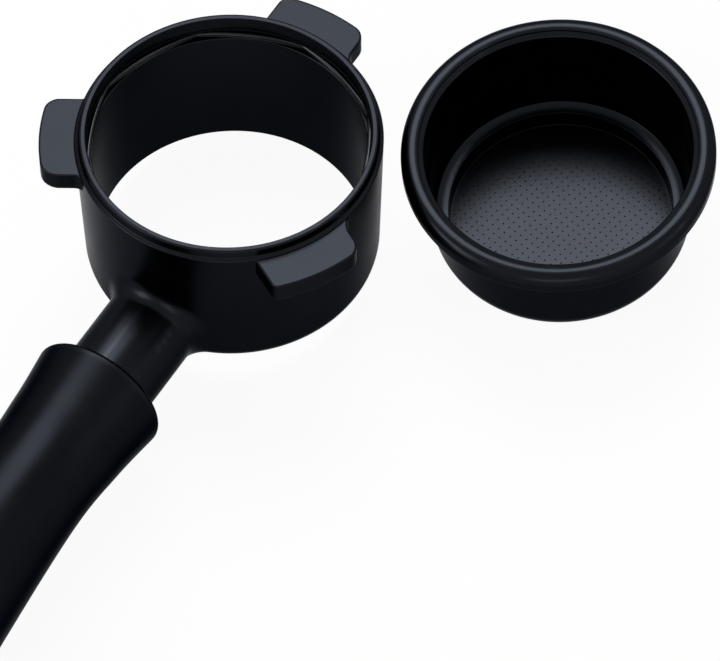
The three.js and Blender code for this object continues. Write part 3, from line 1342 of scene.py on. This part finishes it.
@dataclass(frozen=True)
class FilterBasket:
    """A pressed steel basket: perforated base, plain wall and a flange rolled out and down."""

    place: Placement
    height: float = 28.0
    sheet: float = 0.8
    flange_radius: float = 31.9
    crown: Pair = (2.4, 2.2)
    crown_turn: float = 116.0
    lip_drop: float = 0.4
    skirt: float = 4.3
    skirt_round: float = 0.39
    neck_outside: float = 1.1  # where the wall meets the flange, below the top
    neck_inside: float = 1.65
    wall_radius: float = 28.0
    base_radius: float = 26.65
    corner: Pair = (4.0, 5.5)
    bead_at: float = 18.4
    bead_half: float = 1.1
    bead_depth: float = 0.3
    step_height: float = 5.0
    ledge_round: float = 6.5
    ledge_shift: float = 0.24
    ledge_span: Pair = (-65.0, -87.0)
    step_radius: float = 23.05
    step_wall: float = 25.75
    hole_pitch: float = 1.535
    hole_radius: float = 0.18
    hole_facets: int = 10
    field_radius: float = 22.15
    lattice_turn: float = -9.45
    turns: int = 240
    stride: float = 0.05  # from the end of one stretch of a section to the next one's start
    weld: float = 0.001

    def build(self) -> None:
        """Makes the wall and the perforated base, joins them and dresses the whole."""
        shell = Shell.turned(self._wall_section(), self.turns).joined(self._base())
        piece = shell.build("basket", self.place, BASKET_COAT.material())
        settle(piece, Body.BASKET, Slot.BASKET_COAT, "filter_basket")

    @property
    def seam_radius(self) -> float:
        """Where the wall's sections meet the base."""
        return self.base_radius - self.corner[0]

    @property
    def heel(self) -> Pair:
        """Where the inside of the wall ends, above the step."""
        return self.step_wall + 0.1, self.corner[1] + 1.0

    def _wall_section(self) -> Outline:
        """Section of the wall, walked up its outside, over the flange and down its inside."""
        crown = arc(
            (self.flange_radius - self.crown[0], self.height - self.crown[1]),
            self.crown, (0.0, self.crown_turn), 26,
        )
        flange = self._skirt().then(Outline.smooth(crown)).then(self._lip(*crown[-1].tolist()))
        return self._outside().then(flange).then(self._inside()).then(self._ledge())

    def _outside(self) -> Outline:
        """The rounded foot and the outside of the wall."""
        width, rise = self.corner
        foot = arc((self.seam_radius, rise), (width, rise), (-90, 0), 14)
        top = self.height - self.neck_outside - 2 * self.stride
        wall = self._beaded((self.base_radius, rise), (self.wall_radius, top))
        return Outline.smooth(np.vstack([foot, wall]))

    def _skirt(self) -> Outline:
        """The flange's underside, its skirt and the skirt's outside."""
        top, gap, rim = self.height, self.sheet, self.flange_radius
        return Outline.rounded(
            [
                Corner(self.wall_radius, top - self.neck_outside),
                Corner(self.wall_radius, top - gap, 0.1),
                Corner(rim - gap, top - gap, self.crown[1] - gap),
                Corner(rim - gap, top - self.skirt, self.skirt_round),
                Corner(rim, top - self.skirt, self.skirt_round),
                Corner(rim, top - self.crown[1] - self.stride),
            ],
            closed=False,
            steps=8,
        )

    def _lip(self, edge: float, height: float) -> Outline:
        """The small step down from the crown's inner edge to the wall.

        Args:
            edge: radius of that edge.
            height: its height.

        Returns:
            The step's outline.
        """
        inside = self.wall_radius - self.sheet
        lip = Outline.rounded(
            [
                Corner(edge + self.stride, height + 0.01),
                Corner(edge - self.stride, height - 0.02, 0.05),
                Corner(edge - 3 * self.stride, height - self.lip_drop, 0.12),
                Corner(inside, height - 2 * self.lip_drop, 0.45),
                Corner(inside, self.height - self.neck_inside),
            ],
            closed=False,
        )
        return Outline(lip.points[1:], lip.directions[1:])

    def _inside(self) -> Outline:
        """The inside of the wall, from the lip down to the heel."""
        top = self.height - self.neck_inside - self.stride
        return Outline.smooth(self._beaded(self.heel, (self.wall_radius - self.sheet, top))[::-1])

    def _ledge(self) -> Outline:
        """The step inside: a ledge that curves down from the wall, and its drop to the base."""
        ledge = arc(
            (self.step_radius - self.ledge_shift, self.step_height + self.ledge_round),
            (self.ledge_round, self.ledge_round), self.ledge_span, 10,
        )
        end, height = ledge[0].tolist()
        corner = Outline.rounded(
            [Corner(*self.heel), Corner(end + 0.12, height + 0.3, 0.1), Corner(end, height)],
            closed=False,
        )
        drop = Outline.rounded(
            [
                Corner(self.step_radius + 2 * self.stride, self.step_height),
                Corner(self.step_radius, self.step_height, 0.08),
                Corner(self.step_radius - 3 * self.stride, self.sheet, 0.1),
                Corner(self.seam_radius, self.sheet),
            ],
            closed=False,
            steps=7,
        )
        return corner.then(Outline.smooth(ledge)).then(drop)

    def _beaded(self, low: Pair, high: Pair) -> Array:
        """A tapered wall with the shallow groove that the holder's spring snaps into.

        Args:
            low: radius and height of its foot.
            high: radius and height of its top.

        Returns:
            Points up the wall, its two ends left out.
        """
        share = np.linspace(0, 1, 61)[1:-1]
        radius = low[0] + (high[0] - low[0]) * share
        height = low[1] + (high[1] - low[1]) * share
        dip = np.clip(1 - ((height - self.bead_at) / self.bead_half) ** 2, 0, 1) ** 2
        return np.stack([radius - self.bead_depth * dip, height], axis=1)

    def _base(self) -> Shell:
        """The base: a thin plate with a square lattice of round holes, open at its rim."""
        cells = math.ceil(self.field_radius / self.hole_pitch) + 1
        tree = Tree("perforated plate")
        pitch = tree.input("Pitch")
        turn = tree.input("Lattice turn")
        hole = tree.input("Hole radius")
        field_radius = tree.input("Field radius")
        plate = tree.input("Plate radius")
        sheet = tree.input("Sheet")
        width = tree.node("ShaderNodeMath", {0: pitch, 1: 2.0 * cells - 1.0}, operation="MULTIPLY")
        lattice = tree.node(
            "GeometryNodeMeshGrid",
            {
                "Size X": width.outputs[0],
                "Size Y": width.outputs[0],
                "Vertices X": 2 * cells,
                "Vertices Y": 2 * cells,
            },
        )
        spin = tree.node("ShaderNodeCombineXYZ", {"Z": turn})
        turned = tree.node(
            "GeometryNodeTransform",
            {"Geometry": lattice.outputs["Mesh"], "Rotation": spin.outputs[0]},
        )
        reach = tree.node(
            "ShaderNodeVectorMath",
            {0: tree.node("GeometryNodeInputPosition").outputs[0]},
            operation="LENGTH",
        )
        beyond = tree.node(
            "FunctionNodeCompare",
            {0: reach.outputs["Value"], 1: field_radius},
            data_type="FLOAT",
            operation="GREATER_THAN",
        )
        kept = tree.node(
            "GeometryNodeDeleteGeometry",
            {"Geometry": turned.outputs[0], "Selection": beyond.outputs[0]},
            domain="POINT",
        )
        ring = tree.node(
            "GeometryNodeCurvePrimitiveCircle", {"Resolution": self.hole_facets, "Radius": hole}
        )
        holes = tree.node(
            "GeometryNodeInstanceOnPoints",
            {"Points": kept.outputs[0], "Instance": ring.outputs[0]},
        )
        rim = tree.node(
            "GeometryNodeCurvePrimitiveCircle", {"Resolution": self.turns, "Radius": plate}
        )
        real = tree.node("GeometryNodeRealizeInstances", {"Geometry": holes.outputs[0]})
        lines = tree.node(
            "GeometryNodeJoinGeometry", {"Geometry": [real.outputs[0], rim.outputs[0]]}
        )
        face = tree.node("GeometryNodeFillCurve", {"Curve": lines.outputs[0]})
        raised = tree.node(
            "GeometryNodeExtrudeMesh",
            {"Mesh": face.outputs[0], "Offset Scale": sheet, "Individual": False},
            mode="FACES",
        )
        middle = tree.node("ShaderNodeMath", {0: field_radius, 1: plate}, operation="ADD")
        half = tree.node("ShaderNodeMath", {0: middle.outputs[0], 1: 0.5}, operation="MULTIPLY")
        outer = tree.node(
            "FunctionNodeCompare",
            {0: reach.outputs["Value"], 1: half.outputs[0]},
            data_type="FLOAT",
            operation="GREATER_THAN",
        )
        edge = tree.node(
            "FunctionNodeBooleanMath",
            {0: raised.outputs["Side"], 1: outer.outputs[0]},
            operation="AND",
        )
        opened = tree.node(
            "GeometryNodeDeleteGeometry",
            {"Geometry": raised.outputs["Mesh"], "Selection": edge.outputs[0]},
            domain="FACE",
        )
        under = tree.node("GeometryNodeFlipFaces", {"Mesh": face.outputs[0]})
        both = tree.node(
            "GeometryNodeJoinGeometry", {"Geometry": [opened.outputs[0], under.outputs[0]]}
        )
        welded = tree.node(
            "GeometryNodeMergeByDistance", {"Geometry": both.outputs[0], "Distance": self.weld}
        )
        tree.close(welded.outputs[0])
        mesh = tree.run(
            "plate",
            bpy.data.meshes.new("plate_blank"),
            {
                "Pitch": self.hole_pitch,
                "Lattice turn": math.radians(self.lattice_turn),
                "Hole radius": self.hole_radius,
                "Field radius": self.field_radius,
                "Plate radius": self.seam_radius,
                "Sheet": self.sheet,
                "Material": None,
            },
        )
        points = np.array([v.co for v in mesh.vertices])
        ways = np.zeros_like(points)
        ways[:, 2] = np.where(points[:, 2] > self.sheet / 2, 1.0, -1.0)
        return Shell(points, ways, [tuple(p.vertices) for p in mesh.polygons])


# ----------------------------------------------------------------------- the studio


@dataclass(frozen=True)
class Softbox:
    """A large soft lamp, by the direction it stands in, its size and its brightness.

    Angles are in degrees, and the distance and size in metres.
    """

    name: str
    azimuth: float
    elevation: float
    distance: float
    width: float
    height: float
    brightness: float

    def hang(self, aim: Vector) -> None:
        """Hangs the lamp so that it faces what it lights.

        Args:
            aim: the point that it faces, in metres.
        """
        light = bpy.data.lights.new(self.name, "AREA")
        light.shape = "RECTANGLE"
        light.size = self.width
        light.size_y = self.height
        light.energy = self.brightness * math.pi * self.width * self.height
        a, e = math.radians(self.azimuth), math.radians(self.elevation)
        way = Vector((math.cos(a) * math.cos(e), math.sin(a) * math.cos(e), math.sin(e)))
        lamp = bpy.data.objects.new(self.name, light)
        lamp.location = aim + way * self.distance
        lamp.rotation_euler = way.to_track_quat("Z", "Y").to_euler()
        bpy.context.scene.collection.objects.link(lamp)


@dataclass(frozen=True)
class Studio:
    """A pale floor, soft lamps, a white surrounding and the camera."""

    aim: tuple[float, float, float] = (7.54, 44.08, 0.0)  # millimetres
    azimuth: float = 35.9
    elevation: float = 58.84
    roll: float = -5.81
    distance: float = 1222.7  # millimetres, as the lens is
    lens: float = 300.0
    sensor: float = 36.0
    floor_size: float = 4.0  # metres, as the gap under the object is
    floor_gap: float = 0.00005
    floor_colour: Colour = (0.86, 0.86, 0.86)
    whiteness: float = 0.94  # how much of the floor's white the camera sees, over its shadow
    mirrored: float = 0.36  # how much of it the object mirrors
    ambient: float = 0.22
    lamps: tuple[Softbox, ...] = (
        Softbox("back_softbox", 122.0, 54.5, 1.3, 0.8, 0.66, 8.2),
        Softbox("left_softbox", 226.0, 34.0, 1.3, 0.6, 0.7, 5.6),
        Softbox("right_softbox", 15.0, 30.0, 1.4, 0.5, 0.6, 0.8),
        Softbox("front_softbox", 300.0, 28.0, 1.4, 0.7, 0.5, 2.2),
    )

    def build(self) -> None:
        """Sets up everything around the object."""
        scene = bpy.context.scene
        scene.view_settings.view_transform = "Standard"
        target = Vector(self.aim) * MM
        for lamp in self.lamps:
            lamp.hang(target)
        self._floor()
        self._world()
        self._camera(target)

    def _camera(self, target: Vector) -> None:
        """The camera, looking down on the object with the handle at its left.

        Args:
            target: the point at the middle of its view.
        """
        a, e, roll = (math.radians(v) for v in (self.azimuth, self.elevation, self.roll))
        back = Vector((math.sin(a) * math.cos(e), -math.cos(a) * math.cos(e), math.sin(e)))
        right = Vector((math.cos(a), math.sin(a), 0.0))
        up = back.cross(right)
        tilted_right = right * math.cos(roll) + up * math.sin(roll)
        tilted_up = up * math.cos(roll) - right * math.sin(roll)
        data = bpy.data.cameras.new("camera")
        data.sensor_fit = "HORIZONTAL"
        data.sensor_width = self.sensor
        data.lens = self.lens
        camera = bpy.data.objects.new("camera", data)
        turn = Matrix((tilted_right, tilted_up, back)).transposed()
        camera.matrix_world = Matrix.Translation(target + back * self.distance * MM) @ turn.to_4x4()
        bpy.context.scene.collection.objects.link(camera)
        bpy.context.scene.camera = camera

    @staticmethod
    def _seen(tree: bpy.types.NodeTree, camera: float, gloss: float) -> bpy.types.NodeSocket:
        """A share that depends on what looks: none for light that only spreads.

        Args:
            tree: the tree that uses it.
            camera: the share for what the camera sees.
            gloss: the share for what gloss and glass show.

        Returns:
            The share.
        """
        rays = add_node(tree, "ShaderNodeLightPath")
        shares = {"Is Camera Ray": camera, "Is Glossy Ray": gloss, "Is Transmission Ray": gloss}
        total: float | bpy.types.NodeSocket = 0.0
        for name, share in shares.items():
            added = add_node(
                tree, "ShaderNodeMath", {0: rays.outputs[name], 1: share, 2: total},
                operation="MULTIPLY_ADD",
            )
            total = added.outputs[0]
        return total

    def _floor(self) -> None:
        """A plain pale floor that keeps a little of the object's shadow."""
        half = self.floor_size / 2
        mesh = bpy.data.meshes.new("floor")
        corners = [(-half, -half), (half, -half), (half, half), (-half, half)]
        mesh.from_pydata([(x, y, -self.floor_gap) for x, y in corners], [], [(0, 1, 2, 3)])
        material = bpy.data.materials.new("floor")
        material.use_nodes = True
        tree = material.node_tree
        tree.nodes.clear()
        share = self._seen(tree, self.whiteness, self.mirrored)
        paint = add_node(tree, "ShaderNodeBsdfDiffuse", {"Color": (*self.floor_colour, 1.0)})
        glow = add_node(tree, "ShaderNodeEmission")
        mix = add_node(
            tree, "ShaderNodeMixShader", {0: share, 1: paint.outputs[0], 2: glow.outputs[0]}
        )
        add_node(tree, "ShaderNodeOutputMaterial", {"Surface": mix.outputs[0]})
        mesh.materials.append(material)
        floor = bpy.data.objects.new("floor", mesh)
        bpy.context.scene.collection.objects.link(floor)

    def _world(self) -> None:
        """A white surrounding that lights the object only a little."""
        world = bpy.data.worlds.new("surrounding")
        bpy.context.scene.world = world
        world.use_nodes = True
        tree = world.node_tree
        tree.nodes.clear()
        share = self._seen(tree, 1.0, 1.0)
        dim = add_node(tree, "ShaderNodeBackground", {"Strength": self.ambient})
        white = add_node(tree, "ShaderNodeBackground", {"Color": (1.0, 1.0, 1.0, 1.0)})
        mix = add_node(
            tree, "ShaderNodeMixShader", {0: share, 1: dim.outputs[0], 2: white.outputs[0]}
        )
        add_node(tree, "ShaderNodeOutputWorld", {"Surface": mix.outputs[0]})


# -------------------------------------------------------------------------- building


def holder_place() -> Placement:
    """Where the holder lies, from the flat ring of its rim that the record names."""
    seat = next(m for m in frame["record"]["mounts"] if m["name"] == "rim_seat")
    tilt = math.atan2(seat["axis"][1], seat["axis"][2])
    sizes = RingSizes()
    on_rim = np.array([[0.0, sizes.rim_bore + sizes.rim_flat / 2, sizes.height]])
    origin = np.array(seat["pos_m"]) / MM - Placement((0.0, 0.0, 0.0), tilt).turn(on_rim)[0]
    return Placement(tuple(float(v) for v in origin), tilt)


def basket_place() -> Placement:
    """Where the basket stands, from the middle of its base."""
    low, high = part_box("filter_basket")
    middle = (low + high) / 2 / MM
    return Placement((middle.x, middle.y, low.z / MM))


def main() -> None:
    """Builds the studio, the holder and the basket."""
    logging.basicConfig(level=logging.INFO, format="%(name)s: %(message)s")
    Studio().build()
    holder = holder_place()
    HolderCasting(holder).build()
    RetainingSpring(holder).build()
    Grip(holder).build()
    FilterBasket(basket_place()).build()


if __name__ == "__main__":
    main()
